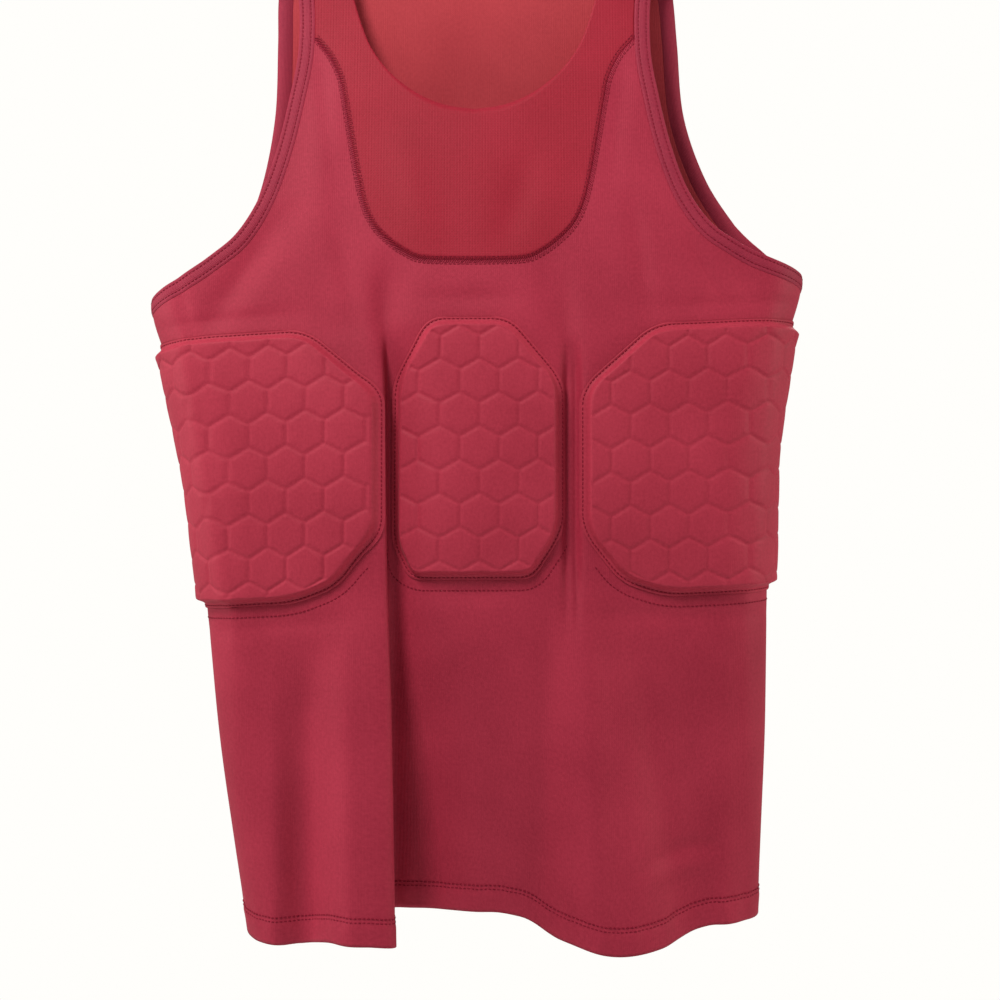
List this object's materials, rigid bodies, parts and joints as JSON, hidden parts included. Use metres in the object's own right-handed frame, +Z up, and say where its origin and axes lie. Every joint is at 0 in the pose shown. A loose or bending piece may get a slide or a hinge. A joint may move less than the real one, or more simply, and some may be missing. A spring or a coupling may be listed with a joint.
{
  "type": "padded compression shirt on hanger",
  "caption": "Sleeveless stretch shirt with moulded foam pads over the ribs and the middle of the body, hanging from a plain hanger with a wire hook.",
  "frame": {"origin": "seat of the hanger's hook, where its inside bears on a rail", "axes": "+Z up, -Y towards the shirt's front, +X to the right of someone who looks at the front"},
  "size_m": [0.4658, 0.1105, 0.8259],
  "materials": {
    "knit": "matte",
    "mesh": "matte",
    "foam": "matte",
    "plastic": "satin",
    "steel": "polished"
  },
  "bodies": {
    "root": {"front_panel": "knit", "back_panel": "knit", "front_yoke": "mesh", "binding_left": "knit", "binding_right": "knit", "pad_left": "foam", "pad_center": "foam", "pad_right": "foam", "hanger_body": "plastic", "hanger_hook": "steel"}
  },
  "joints": []
}
